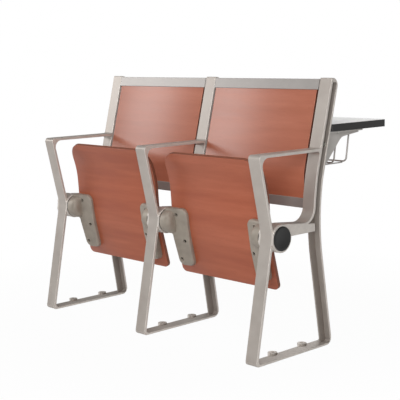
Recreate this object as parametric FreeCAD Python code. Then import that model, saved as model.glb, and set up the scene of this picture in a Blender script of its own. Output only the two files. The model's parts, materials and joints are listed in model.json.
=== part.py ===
import FreeCAD, Part
import math
import os

# Two tip up seats side by side on three cast side frames, with a writing desk behind.
# Sizes are in millimetres. X runs along the row, +Y towards the back, +Z up.
# The shapes are made with y = 0 at the front of the feet and x = 0 at the middle frame,
# and are moved at the end so that the origin lies under the centre of the whole unit.

Vector = FreeCAD.Vector

# Row
frame_spacing = 550.0
overall_height = 913.0
foot_depth = 385.0

# Side frame casting
flange_width = 50.0
flange_thickness = 10.0
back_flange_thickness = 7.0
web_thickness = 5.0
foot_rail_thickness = 7.0
post_depth = 37.0
knee_y = 308.5
knee_z = 473.7
knee_share = 0.814
post_lean = 14.2
waist_y = 80.0
waist_z = 417.0
arm_front_y = 21.0
arm_height = 681.0
arm_thickness = 9.5
arm_outer_radius = 13.0
arm_inner_radius = 26.0
crossbar_front_z = 450.0
crossbar_rear_z = 436.0
crossbar_flange = 8.0
crossbar_radius = 50.0
crossbar_depth = 44.0
crossbar_side_inset = 1.0
crossbar_wall = 5.0
corner_run = 1.3
leg_web_depth = 35.0
edge_round = 1.5
edge_chamfer = 1.2
foot_corner_radius = 12.0
foot_rear_radius = 25.0
waist_radius = 18.0
waist_half_height = 12.0
arm_rear_radius = 6.0
post_tip_front_radius = 3.0
post_tip_rear_radius = 25.0
arm_window_rear_radius = 8.0
leg_window_front_radius = 12.0
leg_window_rear_radius = 10.0
post_pocket_top_wall = 15.0
post_pocket_radius = 6.0
web_sink = 3.0
hole_clearance = 0.3

# Bolt ears on the foot rail
ear_radius = 16.5
ear_thickness = 14.0
ear_offset = 1.5
ear_front_y = 135.0
ear_pitch = 150.0
anchor_hole = 11.0

# Seat pivot
pivot_y = 120.0
pivot_z = 406.0
hub_diameter = 93.0
hub_width = 64.0
hub_cavity_diameter = 77.0
diaphragm_thickness = 6.0
shaft_boss_diameter = 28.0
shaft_boss_length = 14.0
shaft_diameter = 22.0
running_clearance = 0.05
bush_wall = 4.0
bush_length = 28.0
roll_pin_diameter = 4.0
roll_pin_end_gap = 0.5
shaft_chamfer = 1.0
cap_diameter = 81.0
cap_thickness = 3.5
cap_spigot_length = 12.0
cap_wall = 2.5
cap_fit = 0.3
cap_dome_share = 0.7

# Seat
seat_side_gap = 40.0
seat_thickness = 13.0
seat_low_z = 212.0
seat_low_y = 184.2
seat_low_lean = 14.5
seat_bend_z = 400.0
seat_bend_radius = 675.0
seat_mid_lean = 3.5
seat_nose_z = 585.0
seat_nose_radius = 319.0
seat_nose_lean = 31.0
seat_high_z = 655.0
seat_nose_corner = 68.0
seat_rear_corner = 20.0
seat_travel = 75.0

# Seat brackets
bracket_width = 74.0
bracket_hub_depth = 32.0
bracket_inner_depth = 13.0
bracket_low_z = 243.0
bracket_high_z = 456.0
bracket_outer_gap = 14.0
bracket_round = 8.0
bracket_low_corner = 20.0
bracket_high_corner = 26.0
bracket_outer_low_corner = 24.0
bracket_outer_taper = 6.0
bracket_inner_taper = 6.0
bracket_hub_corner = 10.0
bracket_bend_z = 345.0
bracket_bend_radius = 120.0
bracket_trim_reach = 20.0
high_screw_x = 30.0
high_screw_z = 435.0
middle_screw_x = 52.0
middle_screw_z = 341.0
low_screw_x = 24.0
low_screw_z = 273.0
disc_diameter = 86.0
disc_gap = 3.0
disc_thickness = 4.5
neck_diameter = 86.0
neck_reach = 78.0
neck_round = 22.0
neck_sink = 2.0
bore_end_gap = 0.5
dog_inner_radius = 28.0
dog_outer_radius = 36.5
dog_depth = 19.0
dog_angle = 36.0
dog_centre_angle = 232.0
buffer_angle = 22.0
buffer_clearance = 0.5
buffer_face_inset = 2.0
washer_thickness = 2.7
washer_inner_gap = 0.5
washer_outer_inset = 1.0
screw_diameter = 6.0
screw_head_diameter = 10.5
screw_head_height = 4.0
counterbore_diameter = 13.0
screw_grip = 9.0
screw_end_gap = 1.0
socket_share = 0.3
socket_floor_share = 0.45
insert_diameter = 9.0
insert_length = 10.0
insert_recess = 0.5

# Return springs
spring_wire = 3.6
spring_fit = 0.1
spring_pitch = 4.2
spring_turns = 4
spring_side_gap = 0.2

# Backs
back_side_gap = 33.0
back_thickness = 12.0
back_recess = 2.0
back_bend_z = 597.0
back_bend_radius = 180.0
back_low_lean = -3.0
top_rail_drop = 4.0
top_rail_height = 37.0
bottom_rail_height = 34.0
bottom_rail_centre_z = 494.0
rail_wall = 3.5
rail_end_gap = 2.0
rail_slot_depth = 12.0
slot_clearance = 0.2
panel_end_gap = 1.0
tab_height = 17.0
tab_thickness = 9.0
tab_sink = 30.0
top_fixing_drop = 5.0
rail_screw_diameter = 6.0
rail_screw_head = 12.0
rail_screw_depth = 18.0

# Desk
desk_end_overhang = 25.0
desk_front_y = 385.0
desk_rear_y = 685.0
desk_top_z = 758.0
desk_thickness = 25.0
desk_edge_band_thickness = 2.0
desk_corner_radius = 10.0
desk_bracket_reach = 555.0
desk_bracket_foot_z = 590.0
desk_bracket_flange = 5.0
desk_bracket_width = 42.0
desk_bracket_web = 6.0
desk_bolt_diameter = 8.0
desk_bolt_height = 690.0
desk_bolt_offset = 13.0
desk_bolt_head_diameter = 12.8
desk_bolt_head_height = 4.5
desk_nut_height = 6.0
desk_bolt_past_nut = 1.0
desk_screw_diameter = 5.0
desk_screw_head_diameter = 10.0
desk_screw_head_height = 3.0
desk_screw_depth = 15.0
desk_screw_front_inset = 45.0
desk_screw_rear_inset = 30.0
gusset_tip_height = 12.0
gusset_foot_depth = 8.0
gusset_elbow_run = 95.0
gusset_elbow_drop = 23.0
gusset_elbow_radius = 40.0

# Book racks
rack_wire = 6.0
rack_cross_wire = 5.0
rack_end_gap = 50.0
rack_bottom_z = 614.0
rack_rear_y = 553.0
rack_front_y = 484.0
rack_flare = 18.0
rack_bend_radius = 14.0
rack_cross_count = 7
rack_cross_overhang = 20.0
rack_cross_inset = 6.0
rack_lip_reach = 8.0
rack_lip_height = 16.0
rack_lip_radius = 6.0
rack_weld_sink = 0.6
rack_plate_length = 34.0
rack_plate_width = 16.0
rack_plate_thickness = 3.0
rack_screw_pitch = 22.0
rack_screw_diameter = 4.0
rack_screw_head_diameter = 8.0
rack_screw_head_height = 2.4
rack_screw_depth = 14.0

# Values that follow from the ones above
frame_x = {"left": -frame_spacing, "middle": 0.0, "right": frame_spacing}
bays = {"left": (-frame_spacing, 0.0), "right": (0.0, frame_spacing)}
half_flange = flange_width / 2
hub_half = hub_width / 2
knee_turn = math.radians(post_lean) + math.atan2(foot_depth - knee_y, knee_z)
knee_run = knee_share * (arm_height - arm_thickness - knee_z) / math.cos(math.radians(post_lean))
knee_radius = knee_run / math.tan(knee_turn / 2) - post_depth
hub_radius = hub_diameter / 2
cavity_radius = hub_cavity_diameter / 2
shaft_radius = shaft_diameter / 2
bush_inner_radius = shaft_radius + running_clearance
bush_outer_radius = bush_inner_radius + bush_wall
spring_mean_radius = shaft_radius + spring_fit + spring_wire / 2
disc_near = hub_half + disc_gap
disc_far = disc_near + disc_thickness
shaft_reach = disc_near + bush_length
hub_reach = frame_spacing / 2
bracket_outer = seat_side_gap + bracket_outer_gap
bracket_inner = bracket_outer + bracket_width
desk_low_z = desk_top_z - desk_thickness
unit_low_x = -frame_spacing - half_flange - ear_offset - ear_radius
unit_high_x = frame_spacing + hub_half + cap_thickness
foot_corner_angle = math.atan2(waist_z, waist_y)
unit_front_y = foot_corner_radius / math.tan(foot_corner_angle / 2) - foot_corner_radius
centre = Vector((unit_low_x + unit_high_x) / 2, (unit_front_y + desk_rear_y) / 2, 0)


def point(y, z, x=0.0):
    return Vector(x, y, z)


def tangent(degrees):
    return math.tan(math.radians(degrees))


# Flat outlines in the Y Z plane

def turn_at(points, index):
    before = points[index] - points[index - 1]
    after = points[(index + 1) % len(points)] - points[index]
    side = before.y * after.z - before.z * after.y
    return before.getAngle(after), side


def rounded_edges(points, radii, closed):
    """Lines through the points, with an arc of the given radius at each bend."""
    count = len(points)
    starts = []
    ends = []
    arcs = []
    for index, corner in enumerate(points):
        radius = radii[index]
        is_end = not closed and index in (0, count - 1)
        if radius == 0 or is_end:
            starts.append(corner)
            ends.append(corner)
            arcs.append(None)
            continue
        angle, _ = turn_at(points, index)
        back = (points[index - 1] - corner).normalize()
        ahead = (points[(index + 1) % count] - corner).normalize()
        reach = radius * math.tan(angle / 2)
        first = corner + back * reach
        last = corner + ahead * reach
        middle = (back + ahead).normalize()
        sagitta = radius / math.cos(angle / 2) - radius
        starts.append(first)
        ends.append(last)
        arcs.append(Part.Arc(first, corner + middle * sagitta, last).toShape())
    edges = []
    for index in range(count):
        if arcs[index] is not None:
            edges.append(arcs[index])
        if index == count - 1 and not closed:
            break
        following = starts[(index + 1) % count]
        if ends[index].distanceToPoint(following) > 1e-6:
            edges.append(Part.LineSegment(ends[index], following).toShape())
    return edges


def outline(corners):
    """A flat face from (y, z, radius) corners."""
    points = [point(y, z) for y, z, _ in corners]
    radii = [radius for _, _, radius in corners]
    return Part.Face(Part.Wire(rounded_edges(points, radii, True)))


def extrude(face, low_x, high_x):
    shape = face.copy()
    shape.translate(Vector(low_x, 0, 0))
    return shape.extrude(Vector(high_x - low_x, 0, 0))


def offset_path(points, radii, distance):
    """The same bent line, moved to its left by the distance."""
    shifted = []
    new_radii = []
    last = len(points) - 1
    for index, corner in enumerate(points):
        neighbours = []
        if index > 0:
            neighbours.append((corner - points[index - 1]).normalize())
        if index < last:
            neighbours.append((points[index + 1] - corner).normalize())
        normals = [point(-way.z, way.y) for way in neighbours]
        total = normals[0] + normals[-1]
        shifted.append(corner + total * (2 * distance / total.dot(total)))
        radius = radii[index]
        if radius:
            _, side = turn_at(points, index)
            radius = radius - distance if side > 0 else radius + distance
        new_radii.append(radius)
    return shifted, new_radii


def path_band(points, radii, near, far):
    """A flat band between two offsets of a bent line."""
    first, first_radii = offset_path(points, radii, near)
    second, second_radii = offset_path(points, radii, far)
    edges = rounded_edges(first, first_radii, False)
    edges.append(Part.LineSegment(first[-1], second[-1]).toShape())
    edges += rounded_edges(second, second_radii, False)
    edges.append(Part.LineSegment(second[0], first[0]).toShape())
    return Part.Face(Part.Wire(Part.__sortEdges__(edges)))


def place_on_path(points, radii, distance, height):
    """The point at a height on an offset of a bent line, and the way that the line leans there."""
    shifted, new_radii = offset_path(points, radii, distance)
    level = Part.makeLine(point(-foot_depth, height), point(2 * foot_depth, height))
    edges = rounded_edges(shifted, new_radii, False)
    edge = min(edges, key=lambda one: one.distToShape(level)[0])
    found = edge.distToShape(level)[1][0][0]
    way = edge.tangentAt(edge.Curve.parameter(found))
    return found, math.degrees(math.atan2(way.y, way.z))


def leaning_box(anchor, lean, behind, ahead, below, above, low_x, high_x):
    """A box whose height follows a leaning line through the anchor point."""
    up = point(math.sin(math.radians(lean)), math.cos(math.radians(lean)))
    forward = point(-up.z, up.y)
    corners = []
    for forward_part, up_part in ((-behind, -below), (ahead, -below), (ahead, above), (-behind, above)):
        corner = anchor + forward * forward_part + up * up_part
        corners.append((corner.y, corner.z, 0))
    return extrude(outline(corners), low_x, high_x)


def cylinder_x(radius, low_x, high_x, y=pivot_y, z=pivot_z):
    return Part.makeCylinder(radius, high_x - low_x, Vector(low_x, y, z), Vector(1, 0, 0))


def ring_x(inner, outer, low_x, high_x, y=pivot_y, z=pivot_z):
    return cylinder_x(outer, low_x, high_x, y, z).cut(cylinder_x(inner, low_x, high_x, y, z))


def ring_sector(inner, outer, low_x, high_x, centre_angle, spread):
    """Part of a ring about the pivot, with angles counted from +Y towards +Z."""
    start = math.radians(centre_angle - spread / 2)
    middle = math.radians(centre_angle)
    end = math.radians(centre_angle + spread / 2)

    def at(radius, angle):
        return point(pivot_y + radius * math.cos(angle), pivot_z + radius * math.sin(angle))

    edges = [
        Part.Arc(at(outer, start), at(outer, middle), at(outer, end)).toShape(),
        Part.LineSegment(at(outer, end), at(inner, end)).toShape(),
        Part.Arc(at(inner, end), at(inner, middle), at(inner, start)).toShape(),
        Part.LineSegment(at(inner, start), at(outer, start)).toShape(),
    ]
    return extrude(Part.Face(Part.Wire(edges)), low_x, high_x)


def round_edges(shape, radius, chosen):
    edges = [edge for edge in shape.Edges if chosen(edge)]
    return shape.makeFillet(radius, edges)


def lies_at_x(edge, *values):
    low = edge.BoundBox.XMin
    high = edge.BoundBox.XMax
    return any(abs(low - value) < 0.01 and abs(high - value) < 0.01 for value in values)


# The back edge of the post and rear leg, from the floor to the top

spine_points = [
    point(foot_depth, 0),
    point(knee_y, knee_z),
    point(knee_y + (overall_height - knee_z) * tangent(post_lean), overall_height),
]
spine_radii = [0, knee_radius, 0]


def spine_corners(distance):
    """The three corners of the spine line, moved forward by the distance."""
    return offset_path(spine_points, spine_radii, distance)


def post_y(height, distance):
    """Where the straight part of the post lies at a height, this far in front of its back."""
    lean = math.radians(post_lean)
    return knee_y + (height - knee_z) * math.tan(lean) - distance / math.cos(lean)


def spine_at(height, distance):
    return place_on_path(spine_points, spine_radii, distance, height)


def foot_y(height, distance):
    slope = (foot_depth - knee_y) / knee_z
    return foot_depth - height * slope - distance * math.hypot(1, slope)


# Side frames

def front_leg_y(height, inset):
    slope = waist_y / waist_z
    return height * slope + inset * math.hypot(1, slope)


def arm_support_y(height, inset):
    slope = (arm_front_y - waist_y) / (arm_height - waist_z)
    return waist_y + (height - waist_z) * slope + inset * math.hypot(1, slope)


def frame_silhouette():
    back, radii = spine_corners(0)
    return outline([
        (0, 0, foot_corner_radius),
        (waist_y, waist_z, waist_radius),
        (arm_front_y, arm_height, arm_outer_radius),
        (post_y(arm_height, post_depth), arm_height, arm_rear_radius),
        (post_y(overall_height, post_depth), overall_height, post_tip_front_radius),
        (back[2].y, back[2].z, post_tip_rear_radius),
        (back[1].y, back[1].z, radii[1]),
        (back[0].y, back[0].z, foot_rear_radius),
    ])


def post_to_bar_corners(distance, bar_z, radius):
    """The bend of the post and the corner where it turns into the crossbar."""
    at, lean = spine_at(bar_z + corner_run * radius, distance)
    slope = tangent(lean)
    upper_slope = tangent(post_lean)
    meet_z = (at.y - at.z * slope - post_y(0, distance)) / (upper_slope - slope)
    meet_y = post_y(meet_z, distance)
    bar_y = at.y + (bar_z - at.z) * slope
    return [(meet_y, meet_z, knee_radius + distance), (bar_y, bar_z, radius)]


def hub_face():
    rim = Part.makeCircle(hub_radius, point(pivot_y, pivot_z), Vector(1, 0, 0))
    return Part.Face(Part.Wire([rim]))


def arm_window():
    """The gap between the arm, its support, the post and the crossbar."""
    low_arm = arm_height - arm_thickness
    inner_waist_z = waist_z + waist_half_height
    return outline([
        (arm_support_y(inner_waist_z, flange_thickness), inner_waist_z, 0),
        (arm_support_y(low_arm, flange_thickness), low_arm, arm_inner_radius),
        (post_y(low_arm, post_depth), low_arm, arm_window_rear_radius),
        *post_to_bar_corners(post_depth, crossbar_rear_z, crossbar_radius),
        (pivot_y + shaft_diameter, crossbar_front_z, 0),
    ])


def leg_window():
    """The gap under the crossbar and behind the front leg, with the hollow of the post."""
    flange, flange_radii = spine_corners(back_flange_thickness)
    rib = post_depth - flange_thickness
    bar_low_z = crossbar_rear_z - crossbar_flange
    inner_waist_z = waist_z - waist_half_height
    pocket_top = overall_height - post_pocket_top_wall
    bend, bar_corner = post_to_bar_corners(rib, bar_low_z, crossbar_radius + crossbar_flange)
    return outline([
        (front_leg_y(foot_rail_thickness, flange_thickness), foot_rail_thickness, leg_window_front_radius),
        (front_leg_y(inner_waist_z, flange_thickness), inner_waist_z, 0),
        (pivot_y, crossbar_front_z - crossbar_flange, 0),
        bar_corner,
        bend,
        (post_y(pocket_top, rib), pocket_top, post_pocket_radius),
        (post_y(pocket_top, back_flange_thickness), pocket_top, post_pocket_radius),
        (flange[1].y, flange[1].z, flange_radii[1]),
        (foot_y(foot_rail_thickness, back_flange_thickness), foot_rail_thickness, leg_window_rear_radius),
    ])


def frame_web():
    """The thin wall that joins the flanges of the post and the rear leg."""
    leg = path_band(spine_points, spine_radii, web_sink, leg_web_depth)
    return extrude(leg, -web_thickness / 2, web_thickness / 2)


def crossbar():
    """The bar between the hub and the rear leg, hollow and open below."""
    low_z = crossbar_front_z - crossbar_depth
    in_flange = post_depth - flange_thickness + web_sink
    high_end, _ = spine_at(crossbar_rear_z - web_sink, in_flange)
    low_end, _ = spine_at(low_z, in_flange)
    face = outline([
        (pivot_y, low_z, 0),
        (pivot_y, crossbar_front_z - web_sink, 0),
        (high_end.y, high_end.z, 0),
        (low_end.y, low_end.z, 0),
    ])
    half = half_flange - crossbar_side_inset
    bar = extrude(face, -half, half)
    bar = round_edges(bar, edge_round, lambda edge: edge.BoundBox.ZMax < low_z + 0.01
                      and edge.BoundBox.YLength > hub_radius)
    leg_front, _ = spine_at(low_z, post_depth)
    roof_z = crossbar_rear_z - crossbar_flange
    hollow = outline([
        (pivot_y + hub_radius + crossbar_wall, low_z - 1, 0),
        (pivot_y + hub_radius + crossbar_wall, roof_z, 0),
        (leg_front.y - crossbar_wall, roof_z, 0),
        (leg_front.y - crossbar_wall, low_z - 1, 0),
    ])
    return bar.cut(extrude(hollow, crossbar_wall - half, half - crossbar_wall))


def foot_ears():
    ears = []
    for step in range(2):
        base = Vector(-half_flange - ear_offset, ear_front_y + step * ear_pitch, 0)
        ear = Part.makeCylinder(ear_radius, ear_thickness, base)
        top = [edge for edge in ear.Edges if edge.BoundBox.ZMin > ear_thickness - 0.01]
        ears.append(ear.makeFillet(edge_round, top))
    return ears


def anchor_holes():
    holes = []
    for step in range(2):
        base = Vector(-half_flange - ear_offset, ear_front_y + step * ear_pitch, -1)
        holes.append(Part.makeCylinder(anchor_hole / 2, ear_thickness + 2, base))
    return holes


def side_frame():
    """One casting about x = 0, before the holes that differ between the three frames."""
    windows = [arm_window().cut(hub_face()), leg_window().cut(hub_face())]
    flanges = frame_silhouette().cut(windows)
    body = extrude(flanges.Faces[0], -half_flange, half_flange)
    rims = [edge for edge in body.Edges if lies_at_x(edge, -half_flange, half_flange)]
    body = body.makeChamfer(edge_chamfer, rims)
    outside = extrude(frame_silhouette(), -hub_half, hub_half)
    hub = cylinder_x(hub_radius, -hub_half, hub_half)
    hub = round_edges(hub, edge_round, lambda edge: lies_at_x(edge, -hub_half, hub_half))
    body = body.fuse([frame_web().common(outside), crossbar(), hub.common(outside)] + foot_ears())
    for side in (-1, 1):
        low, high = between(0, side, diaphragm_thickness / 2, 2 * hub_half)
        body = body.cut(cylinder_x(cavity_radius, low, high))
    boss = cylinder_x(shaft_boss_diameter / 2, -shaft_boss_length / 2, shaft_boss_length / 2)
    body = body.fuse(boss)
    body = body.cut(cylinder_x(shaft_radius, -hub_half, hub_half))
    return body.cut(anchor_holes())


def roll_pin_space(x):
    """The pin that holds the shaft in the wall of the hub."""
    reach = shaft_boss_diameter / 2 - roll_pin_end_gap
    return Part.makeCylinder(roll_pin_diameter / 2, 2 * reach, Vector(x, pivot_y, pivot_z - reach))


def rail_bolt_axis(height):
    """Where a rail's fixing passes through the web at this height."""
    anchor, _ = spine_at(height, (post_depth - flange_thickness + back_flange_thickness) / 2)
    return anchor


def fixing_height(rail):
    if rail == "top":
        return overall_height - top_rail_drop - top_rail_height / 2 - top_fixing_drop
    return bottom_rail_centre_z


def desk_bolt_axis(x, offset):
    """A bolt through the back flange of the post, square to it."""
    lean = math.radians(post_lean)
    outward = Vector(0, math.cos(lean), -math.sin(lean))
    start = Vector(x + offset, post_y(desk_bolt_height, 0), desk_bolt_height)
    return start, outward


def desk_bolt_hole(start, outward):
    reach = back_flange_thickness + desk_bracket_flange
    radius = desk_bolt_diameter / 2 + hole_clearance
    return Part.makeCylinder(radius, 2 * reach, start + outward * reach, outward * -1)


def finished_frame(name):
    x = frame_x[name]
    body = side_frame()
    for rail in ("top", "bottom"):
        at = rail_bolt_axis(fixing_height(rail))
        hole = cylinder_x(rail_screw_diameter / 2 + hole_clearance, -web_thickness, web_thickness, at.y, at.z)
        body = body.cut(hole)
    for offset in (-desk_bolt_offset, desk_bolt_offset):
        start, outward = desk_bolt_axis(0, offset)
        body = body.cut(desk_bolt_hole(start, outward))
    body = body.cut(roll_pin_space(0))
    body.translate(Vector(x, 0, 0))
    return body


# Pivot parts

def cavity_sides(name):
    """The sides of a hub that face a seat: +1 towards +X, -1 towards -X."""
    return {"left": (1,), "middle": (-1, 1), "right": (-1,)}[name]


def pivot_shaft(name):
    x = frame_x[name]
    sides = cavity_sides(name)
    low = x - shaft_reach if -1 in sides else x - shaft_boss_length
    high = x + shaft_reach if 1 in sides else x + shaft_boss_length
    shaft = cylinder_x(shaft_radius, low, high)
    ends = [edge for edge in shaft.Edges if lies_at_x(edge, low, high)]
    return shaft.makeChamfer(shaft_chamfer, ends).cut(roll_pin_space(x))


def roll_pins():
    return [roll_pin_space(x) for x in frame_x.values()]


def end_cap(name):
    """A domed plug that closes the outer side of an end frame's hub."""
    side = -1 if name == "left" else 1
    cap = cylinder_x(cap_diameter / 2, hub_half, hub_half + cap_thickness)
    rim = [edge for edge in cap.Edges if lies_at_x(edge, hub_half + cap_thickness)]
    cap = cap.makeFillet(cap_thickness * cap_dome_share, rim)
    spigot_radius = cavity_radius - cap_fit
    spigot = ring_x(spigot_radius - cap_wall, spigot_radius, hub_half - cap_spigot_length, hub_half)
    cap = cap.fuse(spigot)
    if side < 0:
        cap = cap.mirror(Vector(0, 0, 0), Vector(1, 0, 0))
    cap.translate(Vector(frame_x[name], 0, 0))
    return cap


def hub_sides():
    """Each frame side that carries a seat, as the frame's x and the side."""
    return [(frame_x[name], side) for name in frame_x for side in cavity_sides(name)]


def between(x, side, near, far):
    """The x range between two distances from a frame, on one side of it."""
    return sorted((x + side * near, x + side * far))


def stop_buffers(kind):
    """Rubber blocks in the hub that a seat's dog meets at the end of its travel."""
    half = (dog_angle + buffer_angle) / 2 + math.degrees(buffer_clearance / dog_inner_radius)
    angle = dog_centre_angle - half
    if kind == "down":
        angle = dog_centre_angle + seat_travel + half
    blocks = []
    for x, side in hub_sides():
        low, high = between(x, side, diaphragm_thickness / 2, hub_half - buffer_face_inset)
        blocks.append(ring_sector(dog_inner_radius, cavity_radius, low, high, angle, buffer_angle))
    return blocks


def thrust_washers():
    rings = []
    for x, side in hub_sides():
        low, high = between(x, side, hub_half, hub_half + washer_thickness)
        outer = disc_diameter / 2 - washer_outer_inset
        rings.append(ring_x(cavity_radius + washer_inner_gap, outer, low, high))
    return rings


def return_spring(x, side):
    """A coil of round wire about the shaft, one quarter turn at a time."""
    start = shaft_boss_length / 2 + spring_wire / 2 + spring_side_gap
    edges = []

    def at(quarters):
        angle = quarters * math.pi / 2
        along = start + spring_pitch * quarters / 4
        return Vector(x + side * along, pivot_y + spring_mean_radius * math.cos(angle),
                      pivot_z + spring_mean_radius * math.sin(angle))

    for quarter in range(4 * spring_turns):
        edges.append(Part.Arc(at(quarter), at(quarter + 0.5), at(quarter + 1)).toShape())
    path = Part.Wire(edges)
    way = path.Edges[0].tangentAt(path.Edges[0].FirstParameter)
    section = Part.Wire([Part.makeCircle(spring_wire / 2, at(0), way)])
    return path.makePipeShell([section], True, False)


# Seats

def seat_front_path():
    """The seat's underside, which faces forward when the seat is tipped up."""
    bend_y = seat_low_y - (seat_bend_z - seat_low_z) * tangent(seat_low_lean)
    nose_y = bend_y - (seat_nose_z - seat_bend_z) * tangent(seat_mid_lean)
    high_y = nose_y - (seat_high_z - seat_nose_z) * tangent(seat_nose_lean)
    points = [
        point(seat_low_y, seat_low_z),
        point(bend_y, seat_bend_z),
        point(nose_y, seat_nose_z),
        point(high_y, seat_high_z),
    ]
    return points, [0, seat_bend_radius, seat_nose_radius, 0]


def front_prism(corners):
    """A prism along Y from (x, z, radius) corners, as deep as the unit."""
    plan = outline(corners)
    plan.rotate(Vector(0, 0, 0), Vector(0, 0, 1), -90)
    return plan.extrude(Vector(0, desk_rear_y, 0))


def seat_panel(bay):
    left_x, right_x = bays[bay]
    low_x = left_x + seat_side_gap
    high_x = right_x - seat_side_gap
    points, radii = seat_front_path()
    sheet = extrude(path_band(points, radii, 0, -seat_thickness), low_x, high_x)
    bounds = sheet.BoundBox
    corners = [
        (low_x, bounds.ZMin, seat_rear_corner),
        (low_x, bounds.ZMax, seat_nose_corner),
        (high_x, bounds.ZMax, seat_nose_corner),
        (high_x, bounds.ZMin, seat_rear_corner),
    ]
    return sheet.common(front_prism(corners))


def behind_seat_face(low_x, high_x):
    """Everything behind the seat's underside, to trim the brackets to it."""
    points, radii = seat_front_path()
    return extrude(path_band(points, radii, 0, -hub_reach), low_x, high_x)


def bracket_side_view(depth):
    """The bracket seen along X where it has this depth, reaching past the seat's underside."""
    points, radii = seat_front_path()
    low, _ = place_on_path(points, radii, depth, bracket_low_z)
    mid, _ = place_on_path(points, radii, depth, bracket_bend_z)
    high, _ = place_on_path(points, radii, depth, bracket_high_z)
    far = seat_low_y + bracket_trim_reach
    return outline([
        (low.y, low.z, 0),
        (mid.y, mid.z, bracket_bend_radius),
        (high.y, high.z, 0),
        (far, bracket_high_z, 0),
        (far, bracket_low_z, 0),
    ])


def bracket_plan(side):
    """The bracket's outline seen from the front, on the +X side of its frame."""
    hub_low = pivot_z - disc_diameter / 2
    corners = [
        (disc_far, hub_low, 0),
        (bracket_outer, hub_low, bracket_hub_corner),
        (bracket_outer + bracket_outer_taper, bracket_low_z, bracket_outer_low_corner),
        (bracket_inner - bracket_inner_taper, bracket_low_z, bracket_low_corner),
        (bracket_inner, bracket_high_z, bracket_high_corner),
        (disc_far, bracket_high_z, 0),
    ]
    return [(side * x, z, radius) for x, z, radius in corners]


def seat_screw_places():
    """How far from its frame and how high each screw of a bracket sits."""
    return [
        (bracket_outer + high_screw_x, high_screw_z),
        (bracket_outer + middle_screw_x, middle_screw_z),
        (bracket_outer + low_screw_x, low_screw_z),
    ]


def screw_frame(distance_x, height):
    """The point on the seat's underside and the way out of it, for a screw."""
    points, radii = seat_front_path()
    at, lean = place_on_path(points, radii, 0, height)
    angle = math.radians(lean)
    outward = Vector(0, -math.cos(angle), math.sin(angle))
    return Vector(distance_x, at.y, at.z), outward


def bracket_block(side):
    """A block that is deep by the hub and shallow at its inner side."""
    deep = bracket_side_view(bracket_hub_depth).OuterWire
    shallow = bracket_side_view(bracket_inner_depth).OuterWire
    deep.translate(Vector(side * disc_far, 0, 0))
    shallow.translate(Vector(side * bracket_inner, 0, 0))
    return Part.makeLoft([deep, shallow], True, True)


def bracket_depth_at(distance_x):
    share = (distance_x - disc_far) / (bracket_inner - disc_far)
    return bracket_hub_depth + share * (bracket_inner_depth - bracket_hub_depth)


def bracket_front_edges(body):
    """The edges around the bracket's front face, apart from the one by the hub."""
    points, radii = seat_front_path()
    underside = Part.Wire(rounded_edges(points, radii, False))
    chosen = []
    for edge in body.Edges:
        middle = edge.valueAt((edge.FirstParameter + edge.LastParameter) / 2)
        flat = point(middle.y, middle.z)
        crosses = edge.BoundBox.ZLength < 1 and bracket_low_z + 1 < middle.z < bracket_high_z - 1
        out = underside.distToShape(Part.Vertex(flat))[0]
        on_front = out > bracket_depth_at(abs(middle.x)) - edge_round
        if on_front and not crosses and abs(middle.x) > disc_far + edge_round:
            chosen.append(edge)
    return chosen


def seat_bracket(x, side):
    """A cast arm screwed to the seat, with the disc that turns on the frame's hub."""
    body = bracket_block(side).common(front_prism(bracket_plan(side))).Solids[0]
    body = body.makeFillet(bracket_round, bracket_front_edges(body))
    disc_low, disc_high = between(0, side, disc_near, disc_far)
    disc = cylinder_x(disc_diameter / 2, disc_low, disc_high)
    disc = round_edges(disc, edge_round, lambda edge: lies_at_x(edge, side * disc_near))
    neck_low, neck_high = between(0, side, disc_far - neck_sink, neck_reach)
    neck = cylinder_x(neck_diameter / 2, neck_low, neck_high)
    neck = round_edges(neck, neck_round, lambda edge: lies_at_x(edge, side * neck_reach))
    body = body.fuse(neck)
    trim_low, trim_high = between(0, side, disc_far, hub_reach)
    body = body.cut(behind_seat_face(trim_low, trim_high))
    dog_low, dog_high = between(0, side, disc_near - dog_depth, disc_far)
    dog = ring_sector(dog_inner_radius, dog_outer_radius, dog_low, dog_high, dog_centre_angle, dog_angle)
    body = body.fuse([disc, dog])
    bore_low, bore_high = between(0, side, hub_half, shaft_reach + bore_end_gap)
    body = body.cut(cylinder_x(bush_outer_radius, bore_low, bore_high))
    for distance_x, height in seat_screw_places():
        at, outward = screw_frame(side * distance_x, height)
        through = 2 * bracket_hub_depth
        start = at - outward * insert_length
        hole = Part.makeCylinder(screw_diameter / 2 + hole_clearance, through, start, outward)
        bore = Part.makeCylinder(counterbore_diameter / 2, through, at + outward * screw_grip, outward)
        body = body.cut([hole, bore])
    body.translate(Vector(x, 0, 0))
    return body


def seat_ends(bay):
    left_x, right_x = bays[bay]
    return [(left_x, 1), (right_x, -1)]


def pivot_bushes(bay):
    bushes = []
    for x, side in seat_ends(bay):
        low, high = between(x, side, disc_near, shaft_reach)
        bushes.append(ring_x(bush_inner_radius, bush_outer_radius, low, high))
    return bushes


def button_screw(at, outward, grip, depth, diameter, head_diameter, head_height):
    """A screw whose head rests this far out of the surface and whose end goes this deep."""
    shank = Part.makeCylinder(diameter / 2, grip + depth, at - outward * depth, outward)
    head = Part.makeCylinder(head_diameter / 2, head_height, at + outward * grip, outward)
    floor = at + outward * (grip + head_height * socket_floor_share)
    socket = Part.makeCylinder(diameter * socket_share, head_height, floor, outward)
    return shank.fuse(head).cut(socket)


def seat_screws(bay):
    screws = []
    for x, side in seat_ends(bay):
        for distance_x, height in seat_screw_places():
            at, outward = screw_frame(x + side * distance_x, height)
            depth = insert_length - screw_end_gap
            screws.append(button_screw(at, outward, screw_grip, depth, screw_diameter,
                                       screw_head_diameter, screw_head_height))
    return screws


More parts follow.
